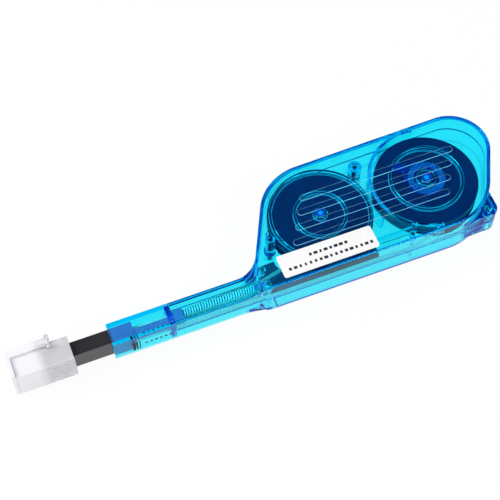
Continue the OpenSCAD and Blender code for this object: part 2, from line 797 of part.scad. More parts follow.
module clutch_pawl() {
    tip_r = ratchet_r - 1.75;
    arm_r = tip_r - 1;
    arm_t = 0.8;
    hub_in = axle_r + 1.25;
    hub_mid = hub_in + arm_t / 2;
    tooth_len = 1.4;
    color("gold") at_take_up() slab(gear_hi - pocket_h + 0.1, gear_hi - 0.1) {
        difference() {
            circle(hub_in + arm_t);
            circle(hub_in);
        }
        for (a = [0:120:240]) rotate(a) {
            translate([hub_mid, -arm_t / 2]) square([arm_r - hub_mid, arm_t]);
            difference() {
                circle(arm_r + arm_t / 2);
                circle(arm_r - arm_t / 2);
                polygon(concat([[0, 0]], arc([0, 0], 20, 60, 360)));
            }
            rotate(58) polygon([
                [arm_r - 0.2, -tooth_len], [arm_r + 0.2, -tooth_len], [tip_r, 0], [arm_r - 0.2, 0]
            ]);
        }
    }
}

// Saw-toothed circle: each tooth rises from low_r to high_r and drops straight back
module saw_circle(teeth, low_r, high_r) {
    polygon([for (k = [0:teeth - 1], end = [0, 1]) let (a = 360 * (k + end * 0.97) / teeth)
        (end == 0 ? low_r : high_r) * [cos(a), sin(a)]]);
}

module spool_core() {
    slab(flange_hi - eps, disc_rib_lo) circle(drum_r);
    slab(disc_rib_lo - eps, disc_lo) circle(drum_r);
    slab(disc_lo - eps, disc_hi) circle(neck_r);
}

module take_up_spool() {
    color(black_plastic) at_take_up() difference() {
        union() {
            slab(flange_lo, flange_hi) saw_circle(rim_teeth, reel_r - rim_tooth_h, reel_r);
            spool_core();
            slab(gear_hi - pocket_h + gap, flange_lo + eps) difference() {
                circle(ratchet_r);
                saw_circle(ratchet_teeth, ratchet_r - 0.8, ratchet_r - 1.4);
            }
        }
        cylinder(h = case_t, r = axle_r + axle_fit);
    }
}

module spool_disc() {
    ring(reel_r, neck_r + 0.03, disc_lo, disc_hi);
    for (r = [reel_r, disc_ring_r]) ring(r, r - 1, disc_rib_lo, disc_lo + eps);
}

module take_up_disc() { color(black_plastic) at_take_up() spool_disc(); }

module take_up_tape() {
    color("white") at_take_up() ring(take_up_pack_r, drum_r + 0.02, tape_lo, tape_hi);
}

module supply_spool() {
    color(black_plastic) at_supply() difference() {
        union() {
            slab(flange_lo, flange_hi) circle(reel_r);
            spool_core();
        }
        cylinder(h = case_t, r = axle_r + axle_fit);
    }
}

module supply_disc() { color(black_plastic) at_supply() spool_disc(); }

module supply_crown() {
    color([0.85, 0.93, 1]) at_supply() difference() {
        ring(crown_r, neck_r + 1.3, disc_hi, disc_hi + crown_h);
        for (k = [0:crown_teeth - 1]) rotate(360 * k / crown_teeth)
            box([neck_r + 1, -0.32, disc_hi + crown_h / 2], [crown_r + 1, 0.32, disc_hi + crown_h + 1]);
    }
}

module supply_tape() {
    color("white") at_supply() ring(supply_pack_r, drum_r + 0.02, tape_lo, tape_hi);
}

// The lid's hinge pin lies across the cap, over its far rear edge
hinge_x = cap_front + 15;
hinge_z = mid + cap_h / 2 + 1.1;
knuckle_r = 0.9;
strap_y = [3.3, cap_w / 2 + 1.4];
ear_t = 0.9;

module guide_cap() {
    y = nose_w / 2 + cap_fit;
    z = nose_h / 2 + cap_fit;
    side_y = cap_w / 2;
    top_z = mid + cap_h / 2;
    color(clear_plastic) difference() {
        union() {
            box([cap_front, -side_y, mid - cap_h / 2], [cap_rear, side_y, top_z]);
            for (y0 = [strap_y[0] - ear_t - gap, strap_y[1] + gap]) {
                box([hinge_x - knuckle_r, y0, top_z - eps], [hinge_x + knuckle_r, y0 + ear_t, hinge_z]);
                translate([hinge_x, y0, hinge_z]) rotate([-90, 0, 0]) cylinder(h = ear_t, r = knuckle_r);
            }
            // bracket that carries the outer ear past the cap's far side
            box([hinge_x - knuckle_r, side_y - eps, top_z - 4],
                [hinge_x + knuckle_r, strap_y[1] + gap + ear_t, top_z]);
        }
        box([cap_front + socket_depth - 1, -y, mid - z], [cap_rear + 1, y, mid + z]);
        box([cap_front - 1, -socket_w / 2, mid - socket_h / 2],
            [cap_front + socket_depth, socket_w / 2, mid + socket_h / 2]);
        translate([hinge_x, strap_y[0] - 3, hinge_z]) rotate([-90, 0, 0])
            cylinder(h = strap_y[1] - strap_y[0] + 7, r = lid_pin_r);
        // slots that free the gripping tongues in both sides
        for (z0 = [mid - z + 0.6, mid + z - 1.4]) box([cap_front + socket_depth + 2, -side_y - 1, z0],
            [cap_rear - 3, side_y + 1, z0 + 0.8]);
    }
}

module lid_pin() {
    color("silver") translate([hinge_x, strap_y[0] - gap - ear_t, hinge_z]) rotate([-90, 0, 0])
        cylinder(h = strap_y[1] - strap_y[0] + 2 * gap + 2 * ear_t, r = lid_pin_r - 0.01);
}

module cap_lid() {
    low_z = mid - cap_h / 2;
    strap_z = hinge_z - knuckle_r;
    color(clear_plastic) difference() {
        union() {
            box([lid_front, -cap_w / 2, low_z], [lid_front + lid_t, cap_w / 2, strap_z + 1.2]);
            box([lid_front, strap_y[0], strap_z], [hinge_x, strap_y[1], strap_z + 1.2]);
            translate([hinge_x, strap_y[0], hinge_z]) rotate([-90, 0, 0])
                cylinder(h = strap_y[1] - strap_y[0], r = knuckle_r);
        }
        translate([hinge_x, strap_y[0] - 1, hinge_z]) rotate([-90, 0, 0])
            cylinder(h = strap_y[1] - strap_y[0] + 2, r = lid_pin_r + axle_fit / 2);
    }
}

placed() top_shell();
placed() bottom_shell();
placed() front_sleeve();
placed() bulkhead();
placed() case_pins();
placed() guide_pins();
placed() label();
placed() tip_carrier();
placed() wiping_pad();
placed() tape_run();
placed() return_spring();
placed() reverse_stop();
placed() drag_washer();
placed() crown_click();
placed() nose_tube();
placed() push_rod();
placed() slider_rack();
placed() drive_gear();
placed() clutch_pawl();
placed() take_up_spool();
placed() take_up_disc();
placed() take_up_tape();
placed() supply_spool();
placed() supply_disc();
placed() supply_crown();
placed() supply_tape();
placed() guide_cap();
placed() lid_pin();
placed() cap_lid();
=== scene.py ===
"""Looks of a push-to-clean tool for multi-fibre connectors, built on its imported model."""

import json
import math

import bmesh
import bpy
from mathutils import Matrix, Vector
from mathutils.geometry import intersect_point_line


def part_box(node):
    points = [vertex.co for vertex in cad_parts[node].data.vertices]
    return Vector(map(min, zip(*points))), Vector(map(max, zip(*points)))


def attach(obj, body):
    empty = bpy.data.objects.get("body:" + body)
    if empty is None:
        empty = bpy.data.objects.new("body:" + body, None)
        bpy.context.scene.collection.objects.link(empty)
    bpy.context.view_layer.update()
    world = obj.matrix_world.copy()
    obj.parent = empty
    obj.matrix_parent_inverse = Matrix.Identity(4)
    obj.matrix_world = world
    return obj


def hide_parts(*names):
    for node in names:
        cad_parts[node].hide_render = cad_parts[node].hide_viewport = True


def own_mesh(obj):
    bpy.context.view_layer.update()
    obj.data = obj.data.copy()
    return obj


MM = 0.001
WHITE = (1, 1, 1, 1)

# Rounding of edges: shares of a neighbour edge that a rounding may take, and the least share worth making
NEXT_TO_FLAT, NEXT_TO_SHARP, ACROSS_FACE = 0.8, 0.45, 0.42
LEAST_ROUNDING = 0.5
STRAIGHT_ON = math.radians(150)

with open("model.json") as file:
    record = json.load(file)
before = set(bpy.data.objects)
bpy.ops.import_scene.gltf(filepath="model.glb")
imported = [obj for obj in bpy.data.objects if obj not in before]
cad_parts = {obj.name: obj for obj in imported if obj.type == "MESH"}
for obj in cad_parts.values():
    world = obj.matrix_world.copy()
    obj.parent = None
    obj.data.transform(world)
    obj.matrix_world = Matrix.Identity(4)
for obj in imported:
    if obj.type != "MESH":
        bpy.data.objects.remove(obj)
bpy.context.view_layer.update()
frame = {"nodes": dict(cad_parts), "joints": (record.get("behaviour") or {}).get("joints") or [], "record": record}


# Node trees of materials

def start_material(name):
    """An empty node material with its output node."""
    material = bpy.data.materials.new(name)
    material.use_nodes = True
    tree = material.node_tree
    tree.nodes.clear()
    output = tree.nodes.new("ShaderNodeOutputMaterial")
    return material, tree, output


def add_node(tree, kind, **inputs):
    """A node of that kind, its inputs set by name."""
    node = tree.nodes.new(kind)
    for name, value in inputs.items():
        node.inputs[name.replace("_", " ")].default_value = value
    return node


def object_place(tree, scale=(1, 1, 1), turn=(0, 0, 0), centre=(0, 0, 0)):
    """Object coordinates, moved to a centre, turned and scaled."""
    place = tree.nodes.new("ShaderNodeTexCoord")
    mapping = add_node(tree, "ShaderNodeMapping", Scale=scale, Rotation=turn)
    mapping.inputs["Location"].default_value = [-c * s for c, s in zip(centre, scale)]
    tree.links.new(place.outputs["Object"], mapping.inputs["Vector"])
    return mapping.outputs["Vector"]


def noise(tree, place, scale, detail=3.0):
    texture = add_node(tree, "ShaderNodeTexNoise", Scale=scale, Detail=detail)
    tree.links.new(place, texture.inputs["Vector"])
    return texture.outputs["Fac"]


def bump(tree, height, strength, distance):
    """A normal that follows a height."""
    node = add_node(tree, "ShaderNodeBump", Strength=strength, Distance=distance)
    tree.links.new(height, node.inputs["Height"])
    return node.outputs["Normal"]


def spread(tree, value, low, high):
    """A value from 0 to 1 spread over a range."""
    node = tree.nodes.new("ShaderNodeMapRange")
    node.inputs["To Min"].default_value = low
    node.inputs["To Max"].default_value = high
    tree.links.new(value, node.inputs["Value"])
    return node.outputs["Result"]


def two_tones(tree, value, first, second):
    ramp = tree.nodes.new("ShaderNodeValToRGB")
    ramp.color_ramp.elements[0].position = 0.35
    ramp.color_ramp.elements[0].color = first
    ramp.color_ramp.elements[1].position = 0.65
    ramp.color_ramp.elements[1].color = second
    tree.links.new(value, ramp.inputs["Fac"])
    return ramp.outputs["Color"]


def principled(tree, output, colour, roughness, **inputs):
    shader = add_node(tree, "ShaderNodeBsdfPrincipled", Base_Color=colour, Roughness=roughness, **inputs)
    tree.links.new(shader.outputs["BSDF"], output.inputs["Surface"])
    return shader


def clear_moulding(name, tint, reach, haze, roughness=0.03, ior=1.38):
    """Clear tinted plastic. Light loses each colour on its way through the wall, as 1 / reach per metre
    times what tint leaves out, and lamps shine through it. haze is a share of deep blue that scatters."""
    material, tree, output = start_material(name)
    glass = principled(tree, output, WHITE, roughness, IOR=ior)
    glass.inputs["Transmission Weight"].default_value = 1
    ripple = noise(tree, object_place(tree), 60.0, 2.0)
    tree.links.new(bump(tree, ripple, 0.05, 0.4 * MM), glass.inputs["Normal"])
    scatter = add_node(tree, "ShaderNodeBsdfDiffuse", Color=(0.0, 0.13, 0.95, 1))
    body = tree.nodes.new("ShaderNodeMixShader")
    body.inputs["Fac"].default_value = haze
    tree.links.new(glass.outputs["BSDF"], body.inputs[1])
    tree.links.new(scatter.outputs["BSDF"], body.inputs[2])
    open_to_lamps = add_node(tree, "ShaderNodeBsdfTransparent")
    path = tree.nodes.new("ShaderNodeLightPath")
    mix = tree.nodes.new("ShaderNodeMixShader")
    tree.links.new(path.outputs["Is Shadow Ray"], mix.inputs["Fac"])
    tree.links.new(body.outputs["Shader"], mix.inputs[1])
    tree.links.new(open_to_lamps.outputs["BSDF"], mix.inputs[2])
    tree.links.new(mix.outputs["Shader"], output.inputs["Surface"])
    inside = add_node(tree, "ShaderNodeVolumeAbsorption", Color=tint, Density=1 / reach)
    tree.links.new(inside.outputs["Volume"], output.inputs["Volume"])
    return material


def along_x(tree, start, end):
    """0 before one place along X, 1 after another, and smooth between them."""
    parts = tree.nodes.new("ShaderNodeSeparateXYZ")
    tree.links.new(object_place(tree), parts.inputs["Vector"])
    share = tree.nodes.new("ShaderNodeMapRange")
    share.interpolation_type = "SMOOTHSTEP"
    share.inputs["From Min"].default_value = start
    share.inputs["From Max"].default_value = end
    tree.links.new(parts.outputs["X"], share.inputs["Value"])
    return share.outputs["Result"]


def moulded(name, colour, tone, roughness, grain=0.12, gloss=0.5):
    """Opaque moulded plastic: faint mottling, fine grain and a roughness that varies a little."""
    material, tree, output = start_material(name)
    shader = principled(tree, output, colour, roughness)
    shader.inputs["Specular IOR Level"].default_value = gloss
    place = object_place(tree)
    mottle = noise(tree, place, 90.0)
    tree.links.new(two_tones(tree, mottle, colour, tone), shader.inputs["Base Color"])
    tree.links.new(spread(tree, mottle, roughness * 0.8, roughness * 1.25), shader.inputs["Roughness"])
    fine = noise(tree, place, 2600.0, 2.0)
    tree.links.new(bump(tree, fine, grain, 0.05 * MM), shader.inputs["Normal"])
    return material


def paint_light_behind(material, colour, start, end):
    """Turns a moulded plastic to another colour behind a place along X, which paints in the light that falls
    there.
    """
    tree = material.node_tree
    base = tree.nodes["Principled BSDF"].inputs["Base Color"]
    mix = tree.nodes.new("ShaderNodeMix")
    mix.data_type = "RGBA"
    front, behind = (s for s in mix.inputs if s.enabled and s.type == "RGBA")
    behind.default_value = colour
    tree.links.new(base.links[0].from_socket, front)
    tree.links.new(along_x(tree, start, end), mix.inputs["Factor"])
    tree.links.new(next(s for s in mix.outputs if s.enabled), base)


def frosted(name, colour, milky_to, clear_from):
    """Translucent plastic with a fine matte skin: milky at the front, clearer where the nose goes in."""
    material, tree, output = start_material(name)
    milky = add_node(tree, "ShaderNodeBsdfPrincipled", Base_Color=colour, IOR=1.35)
    milky.inputs["Transmission Weight"].default_value = 0.12
    clear = add_node(tree, "ShaderNodeBsdfPrincipled", Base_Color=colour, IOR=1.35)
    clear.inputs["Transmission Weight"].default_value = 0.5
    place = object_place(tree)
    haze = noise(tree, place, 300.0)
    skin = bump(tree, noise(tree, place, 1800.0, 2.0), 0.1, 0.05 * MM)
    for shader, smooth, matt in ((milky, 0.35, 0.5), (clear, 0.16, 0.26)):
        tree.links.new(spread(tree, haze, smooth, matt), shader.inputs["Roughness"])
        tree.links.new(skin, shader.inputs["Normal"])
    mix = tree.nodes.new("ShaderNodeMixShader")
    tree.links.new(along_x(tree, milky_to, clear_from), mix.inputs["Fac"])
    tree.links.new(milky.outputs["BSDF"], mix.inputs[1])
    tree.links.new(clear.outputs["BSDF"], mix.inputs[2])
    tree.links.new(mix.outputs["Shader"], output.inputs["Surface"])
    return material


def drawn_metal(name, colour, roughness):
    """Drawn wire, pins and leaf: metal with fine streaks along X."""
    material, tree, output = start_material(name)
    shader = principled(tree, output, colour, roughness, Metallic=1)
    streaks = noise(tree, object_place(tree, scale=(1, 12, 12)), 500.0)
    tree.links.new(spread(tree, streaks, roughness * 0.7, roughness * 1.4), shader.inputs["Roughness"])
    tree.links.new(bump(tree, streaks, 0.08, 0.03 * MM), shader.inputs["Normal"])
    return material


def woven(name, colour, shade, thread):
    """Cloth of two crossing threads, their pitch in metres, over all faces that stand up."""
    material, tree, output = start_material(name)
    shader = principled(tree, output, colour, 0.85)
    shader.inputs["Sheen Weight"].default_value = 0.15
    place = object_place(tree, turn=(0, 0, math.radians(8)))
    cells = add_node(tree, "ShaderNodeTexBrick", Scale=1 / thread, Color1=colour, Color2=shade)
    cells.inputs["Mortar"].default_value = [c * 0.7 for c in colour[:3]] + [1]
    cells.inputs["Mortar Size"].default_value = 0.08
    cells.inputs["Brick Width"].default_value = 1.0
    cells.inputs["Row Height"].default_value = 0.5
    tree.links.new(place, cells.inputs["Vector"])
    tree.links.new(cells.outputs["Color"], shader.inputs["Base Color"])
    tree.links.new(bump(tree, cells.outputs["Fac"], 0.25, 0.04 * MM), shader.inputs["Normal"])
    return material


def wound(name, colour, shade, centre):
    """The edge of a wound tape: fine rings round the reel's axis."""
    material, tree, output = start_material(name)
    shader = principled(tree, output, colour, 0.8)
    rings = add_node(tree, "ShaderNodeTexWave", Scale=650.0, Distortion=1.5, Detail=1.0)
    rings.wave_type = "RINGS"
    rings.rings_direction = "Z"
    tree.links.new(object_place(tree, centre=centre), rings.inputs["Vector"])
    tree.links.new(two_tones(tree, rings.outputs["Fac"], colour, shade), shader.inputs["Base Color"])
    tree.links.new(bump(tree, rings.outputs["Fac"], 0.3, 0.05 * MM), shader.inputs["Normal"])
    return material


def paper_film(name):
    """White film label: smooth, a little uneven where it is pressed on."""
    material, tree, output = start_material(name)
    shader = principled(tree, output, (0.93, 0.93, 0.94, 1), 0.42)
    place = object_place(tree)
    tree.links.new(bump(tree, noise(tree, place, 160.0), 0.15, 0.1 * MM), shader.inputs["Normal"])
    fibres = noise(tree, place, 1200.0)
    pale, paler = (0.9, 0.9, 0.92, 1), (0.95, 0.95, 0.96, 1)
    tree.links.new(two_tones(tree, fibres, pale, paler), shader.inputs["Base Color"])
    return material


def print_ink(name):
    material, tree, output = start_material(name)
    shader = principled(tree, output, (0.02, 0.02, 0.025, 1), 0.5)
    shader.inputs["Specular IOR Level"].default_value = 0.1
    wear = noise(tree, object_place(tree), 1500.0)
    dark, faded = (0.015, 0.015, 0.02, 1), (0.05, 0.05, 0.06, 1)
    tree.links.new(two_tones(tree, wear, dark, faded), shader.inputs["Base Color"])
    return material


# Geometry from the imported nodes

def axis_of(joint):
    """The middle of a reel, from the joint that it turns on."""
    return next(Vector(j["pos_m"]) for j in frame["joints"] if j["name"] == joint)


def show(name, mesh, material, body, slot, *nodes):
    """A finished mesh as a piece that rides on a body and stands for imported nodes."""
    mesh.materials.clear()
    mesh.materials.append(material)
    piece = bpy.data.objects.new(name, mesh)
    bpy.context.scene.collection.objects.link(piece)
    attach(piece, body)
    if nodes:
        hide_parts(*nodes)
    return piece


def merged_copy(node):
    """A node's mesh with its triangles joined into whole faces."""
    mesh = frame["nodes"][node].data.copy()
    shape = bmesh.new()
    shape.from_mesh(mesh)
    bmesh.ops.remove_doubles(shape, verts=shape.verts, dist=0.002 * MM)
    bmesh.ops.dissolve_limit(
        shape, angle_limit=math.radians(0.5), verts=shape.verts, edges=shape.edges, delimit={"NORMAL"}
    )
    shape.to_mesh(mesh)
    shape.free()
    return mesh


def room_at_end(edge, vertex, sharp_edges):
    """How far an edge can be rounded at one end before it meets the next edges."""
    along = (edge.other_vert(vertex).co - vertex.co).normalized()
    room = 1.0
    for other in vertex.link_edges:
        if other is edge:
            continue
        leaving = (other.other_vert(vertex).co - vertex.co).normalized()
        turn = along.angle(leaving)
        if other not in sharp_edges:
            room = min(room, NEXT_TO_FLAT * other.calc_length() * math.sin(turn))
        elif turn < STRAIGHT_ON:
            shorter = min(edge.calc_length(), other.calc_length())
            room = min(room, NEXT_TO_SHARP * shorter * math.tan(turn / 2))
    return room


def room_across(edge, sharp_edges, width):
    """How far an edge can be rounded before it meets one on the other side of a narrow face."""
    middle = (edge.verts[0].co + edge.verts[1].co) / 2
    room = 1.0
    for loop in edge.link_loops:
        along = loop.link_loop_next.vert.co - loop.vert.co
        inward = loop.face.normal.cross(along).normalized()
        for other in loop.face.edges:
            if other is edge or other not in sharp_edges:
                continue
            ends = [v.co for v in other.verts]
            if all((end - middle).dot(inward) > 3 * width for end in ends):
                continue
            nearest, share = intersect_point_line(middle, *ends)
            if not 0 <= share <= 1:
                nearest = ends[0] if share < 0 else ends[1]
            away = nearest - middle
            if away.length > 0 and away.dot(inward) > 0.6 * away.length:
                room = min(room, ACROSS_FACE * away.length)
    return room


def finished(mesh, round_mm, segments=2, sharp=32):
    """The mesh with its sharp edges rounded as far as there is room, and the rest of it shaded smooth."""
    width = round_mm * MM
    limit = math.radians(sharp)
    shape = bmesh.new()
    shape.from_mesh(mesh)
    weight = shape.edges.layers.float.new("bevel_weight_edge")
    sharp_edges = {e for e in shape.edges if e.is_manifold and e.calc_face_angle(0.0) > limit}
    for edge in (e for e in sharp_edges if e.is_convex):
        room = min(room_at_end(edge, vertex, sharp_edges) for vertex in edge.verts)
        share = min(1.0, room / width, room_across(edge, sharp_edges, width) / width)
        edge[weight] = share if share > LEAST_ROUNDING else 0.0
    shape.to_mesh(mesh)
    shape.free()
    holder = bpy.data.objects.new("holder", mesh)
    bpy.context.scene.collection.objects.link(holder)
    bevel = holder.modifiers.new("edge", "BEVEL")
    bevel.width = width
    bevel.segments = segments
    bevel.limit_method = "WEIGHT"
    bevel.use_clamp_overlap = False
    graph = bpy.context.evaluated_depsgraph_get()
    result = bpy.data.meshes.new_from_object(holder.evaluated_get(graph))
    bpy.data.objects.remove(holder)
    bend_normals(result, limit)
    return result


def bend_normals(mesh, limit):
    """Smooth shading that leaves large flat faces flat and bends over the narrow round ones between them."""
    touching = [[] for _ in mesh.vertices]
    for face in mesh.polygons:
        for vertex in face.vertices:
            touching[vertex].append((face.normal.copy(), face.area))
    normals = []
    for face in mesh.polygons:
        for vertex in face.vertices:
            near = (n * area for n, area in touching[vertex] if face.normal.dot(n) > math.cos(limit))
            normals.append(sum(near, Vector()).normalized())
    mesh.shade_smooth()
    mesh.normals_split_custom_set(normals)


def body_of(node):
    return next(b for b, nodes in frame["record"]["behaviour"]["bodies"].items() if node in nodes)


def slot_of(node):
    return next(p["material_slot"] for p in frame["record"]["subparts"] if p["node"] == node)


def dress(node, material, round_mm=0.12, segments=2):
    """A bevelled copy of a node in its material."""
    mesh = finished(merged_copy(node), round_mm, segments)
    return show(node + "_look", mesh, material, body_of(node), slot_of(node), node)


# Geometry Nodes trees

class Tree:
    """A Geometry Nodes tree with named number inputs, and a mesh that it may start from."""

    def __init__(self, name, **sizes):
        self.group = bpy.data.node_groups.new(name, "GeometryNodeTree")
        face = self.group.interface
        face.new_socket("Start", in_out="INPUT", socket_type="NodeSocketGeometry")
        for size in sizes:
            face.new_socket(size, in_out="INPUT", socket_type="NodeSocketFloat")
        face.new_socket("Geometry", in_out="OUTPUT", socket_type="NodeSocketGeometry")
        self.sizes = sizes
        self.entry = self.group.nodes.new("NodeGroupInput")
        self.exit = self.group.nodes.new("NodeGroupOutput")

    def add(self, kind, **inputs):
        node = self.group.nodes.new(kind)
        for name, value in inputs.items():
            self.join(value, node.inputs[name.replace("_", " ")])
        return node

    def join(self, value, socket):
        if isinstance(value, bpy.types.NodeSocket):
            self.group.links.new(value, socket)
        else:
            socket.default_value = value

    def size(self, name):
        return self.entry.outputs[name]

    def sum(self, operation, first, second=0.0):
        node = self.group.nodes.new("ShaderNodeMath")
        node.operation = operation
        self.join(first, node.inputs[0])
        self.join(second, node.inputs[1])
        return node.outputs[0]

    def vector(self, x=0.0, y=0.0, z=0.0):
        return self.add("ShaderNodeCombineXYZ", X=x, Y=y, Z=z).outputs["Vector"]

    def finish(self, geometry, material, start=None):
        """Ends the tree in real geometry with its material, and returns it as a mesh."""
        real = self.add("GeometryNodeRealizeInstances", Geometry=geometry)
        painted = self.add("GeometryNodeSetMaterial", Geometry=real.outputs[0], Material=material)
        self.join(painted.outputs[0], self.exit.inputs["Geometry"])
        holder = bpy.data.objects.new("holder", start or bpy.data.meshes.new("holder"))
        bpy.context.scene.collection.objects.link(holder)
        modifier = holder.modifiers.new("tree", "NODES")
        modifier.node_group = self.group
        for item in self.group.interface.items_tree:
            if item.name in self.sizes:
                modifier[item.identifier] = self.sizes[item.name]
        graph = bpy.context.evaluated_depsgraph_get()
        mesh = bpy.data.meshes.new_from_object(holder.evaluated_get(graph))
        holder.modifiers.clear()
        bpy.data.objects.remove(holder)
        return mesh


def coil_mesh(material, turns, coil_r, length, wire_r):
    """A wire coiled along X, its first end at the origin."""
    tree = Tree("coil", Turns=turns, Coil=coil_r, Length=length, Wire=wire_r)
    spiral = tree.add(
        "GeometryNodeCurveSpiral", Resolution=24, Rotations=tree.size("Turns"), Start_Radius=tree.size("Coil"),
        End_Radius=tree.size("Coil"), Height=tree.size("Length"),
    )
    wire = tree.add("GeometryNodeCurvePrimitiveCircle", Resolution=10, Radius=tree.size("Wire"))
    swept = tree.add(
        "GeometryNodeCurveToMesh", Curve=spiral.outputs[0], Profile_Curve=wire.outputs[0], Fill_Caps=True
    )
    lying = tree.add("GeometryNodeTransform", Geometry=swept.outputs[0], Rotation=(0, math.pi / 2, 0))
    mesh = tree.finish(lying.outputs[0], material)
    mesh.shade_smooth()
    return mesh


def winding_mesh(material, inner_r, outer_r, low, high, turns):
    """A tape wound on its edge round Z, its turns drawn as one spiral strip."""
    tree = Tree("winding", Inner=inner_r, Outer=outer_r, Tall=high - low, Low=low, Turns=turns)
    spiral = tree.add(
        "GeometryNodeCurveSpiral", Resolution=72, Rotations=tree.size("Turns"),
        Start_Radius=tree.size("Inner"), End_Radius=tree.size("Outer"), Height=0.0,
    )
    pitch = tree.sum("DIVIDE", tree.sum("SUBTRACT", tree.size("Outer"), tree.size("Inner")), tree.size("Turns"))
    strip = tree.add(
        "GeometryNodeCurvePrimitiveQuadrilateral", Width=tree.sum("MULTIPLY", pitch, 0.8),
        Height=tree.size("Tall"),
    )
    swept = tree.add(
        "GeometryNodeCurveToMesh", Curve=spiral.outputs[0], Profile_Curve=strip.outputs[0], Fill_Caps=True
    )
    middle = tree.sum("ADD", tree.size("Low"), tree.sum("MULTIPLY", tree.size("Tall"), 0.5))
    raised = tree.add("GeometryNodeTransform", Geometry=swept.outputs[0], Translation=tree.vector(z=middle))
    return tree.finish(raised.outputs[0], material)


def bead_mesh(material, lines, radius):
    """A thin round bead along each line, a line being two points."""
    start = bpy.data.meshes.new("lines")
    points = [point for line in lines for point in line]
    start.from_pydata(points, [(k, k + 1) for k in range(0, len(points), 2)], [])
    tree = Tree("beads", Radius=radius)
    joined = tree.add("GeometryNodeMergeByDistance", Geometry=tree.size("Start"), Distance=0.002 * MM)
    path = tree.add("GeometryNodeMeshToCurve", Mesh=joined.outputs[0])
    section = tree.add("GeometryNodeCurvePrimitiveCircle", Resolution=6, Radius=tree.size("Radius"))
    swept = tree.add(
        "GeometryNodeCurveToMesh", Curve=path.outputs[0], Profile_Curve=section.outputs[0], Fill_Caps=True
    )
    mesh = tree.finish(swept.outputs[0], material, start)
    mesh.shade_smooth()
    return mesh


def marks_mesh(material, count, pitch, mark, tall, vary, seed):
    """A row of small flat bars along X from the origin, each as long as chance and vary make it."""
    tree = Tree("marks", Count=count, Pitch=pitch, Mark=mark, Tall=tall, Vary=vary)
    line = tree.add("GeometryNodeMeshLine", Count=tree.size("Count"), Offset=tree.vector(x=tree.size("Pitch")))
    thin = 0.02 * MM
    bar = tree.add("GeometryNodeMeshCube", Size=tree.vector(tree.size("Mark"), tree.size("Tall"), thin))
    share = tree.add("FunctionNodeRandomValue", Seed=seed)
    share.inputs[2].default_value = 0.0
    share.inputs[3].default_value = 1.0
    longer = tree.sum("SUBTRACT", 1.0, tree.sum("MULTIPLY", tree.size("Vary"), share.outputs[1]))
    row = tree.add(
        "GeometryNodeInstanceOnPoints", Points=line.outputs[0], Instance=bar.outputs[0],
        Scale=tree.vector(longer, 1.0, 1.0),
    )
    return tree.finish(row.outputs[0], material)


# Materials of the object

shell_blue = clear_moulding("clear_blue_shell", (0.0, 0.96, 0.999, 1), 0.95 * MM, 0.018, ior=1.3)
deep_blue = clear_moulding("deep_blue_insert", (0.0, 0.62, 0.94, 1), 0.6 * MM, 0.12, ior=1.3)
crown_clear = clear_moulding("clear_crown", (0.1, 0.7, 0.97, 1), 2 * MM, 0.3, ior=1.45)
nose_black = moulded("satin_black_nose", (0.02, 0.019, 0.023, 1), (0.028, 0.026, 0.032, 1), 0.2)
# painted light: behind the sleeve's mouth the black nose turns violet, for the blue-violet light inside the clear
# sleeve
sleeve_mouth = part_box("front_sleeve")[0].x
paint_light_behind(nose_black, (0.3, 0.15, 0.42, 1), sleeve_mouth - 0.2 * MM, sleeve_mouth + 1.2 * MM)
slide_black = moulded("slide_black", (0.07, 0.05, 0.12, 1), (0.09, 0.065, 0.15, 1), 0.4)
rod_violet = moulded("push_rod_violet", (0.34, 0.18, 0.45, 1), (0.38, 0.21, 0.5, 1), 0.35)
disc_black = moulded("reel_disc_black", (0.006, 0.01, 0.06, 1), (0.01, 0.014, 0.075, 1), 0.38, gloss=0.3)
stop_blue = moulded("reverse_stop_blue", (0.0, 0.05, 0.4, 1), (0.0, 0.07, 0.48, 1), 0.35)
gear_white = moulded("natural_gear", (0.8, 0.8, 0.78, 1), (0.84, 0.84, 0.82, 1), 0.45)
pad_grey = moulded("soft_pad_grey", (0.42, 0.42, 0.44, 1), (0.47, 0.47, 0.49, 1), 0.7, grain=0.3)
felt = moulded("pressed_felt", (0.5, 0.46, 0.38, 1), (0.6, 0.56, 0.47, 1), 0.95, grain=0.6)
cap_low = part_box("guide_cap")[0]
cap_frost = frosted("frosted_cap", (0.93, 0.93, 0.97, 1), cap_low.x + 8 * MM, cap_low.x + 13 * MM)
wire_steel = drawn_metal("bright_wire", (0.8, 0.8, 0.84, 1), 0.2)
# painted highlight: the steel spring is a pale lavender non-metal, whose colour paints the bright glints of the
# steel wire
spring_painted_glint = moulded("pale_spring_painted_glint", (0.88, 0.86, 0.92, 1), (0.93, 0.91, 0.95, 1), 0.25)
leaf_brass = drawn_metal("leaf_brass", (0.85, 0.65, 0.3, 1), 0.3)
tape_cloth = woven("woven_tape", (0.88, 0.88, 0.87, 1), (0.8, 0.8, 0.79, 1), 0.12 * MM)
label_film = paper_film("label_film")
ink = print_ink("printed_ink")
# painted highlights: the pale cyan and white bead colours paint the glints along edges of ribs, rings, crown and
# cap
highlight_cyan = moulded("painted_highlight_cyan", (0.3, 0.75, 1.0, 1), (0.38, 0.8, 1.0, 1), 0.3)
# painted shade: the deep blue bead colour paints the dark outlines along the foot and axle edges
shade_deep_blue = moulded("painted_shade_deep_blue", (0.0, 0.05, 0.6, 1), (0.0, 0.06, 0.66, 1), 0.5, gloss=0.2)
highlight_white = moulded("painted_highlight_white", (0.95, 0.95, 0.97, 1), (0.98, 0.98, 1.0, 1), 0.35)


def dress_case():
    dress("top_shell", shell_blue, 0.3, 3)
    dress("bottom_shell", shell_blue, 0.3, 3)
    dress("front_sleeve", shell_blue, 0.2, 3)
    dress("bulkhead", deep_blue, 0.1)
    dress("crown_click", deep_blue, 0.1)
    dress("case_pins", disc_black, 0.15)
    dress("guide_pins", wire_steel, 0.12)
    dress("tip_carrier", gear_white, 0.15)
    dress("wiping_pad", pad_grey, 0.15)
    dress("tape_run", tape_cloth, 0.02)
    dress("reverse_stop", stop_blue, 0.05)
    dress("drag_washer", felt, 0.1)


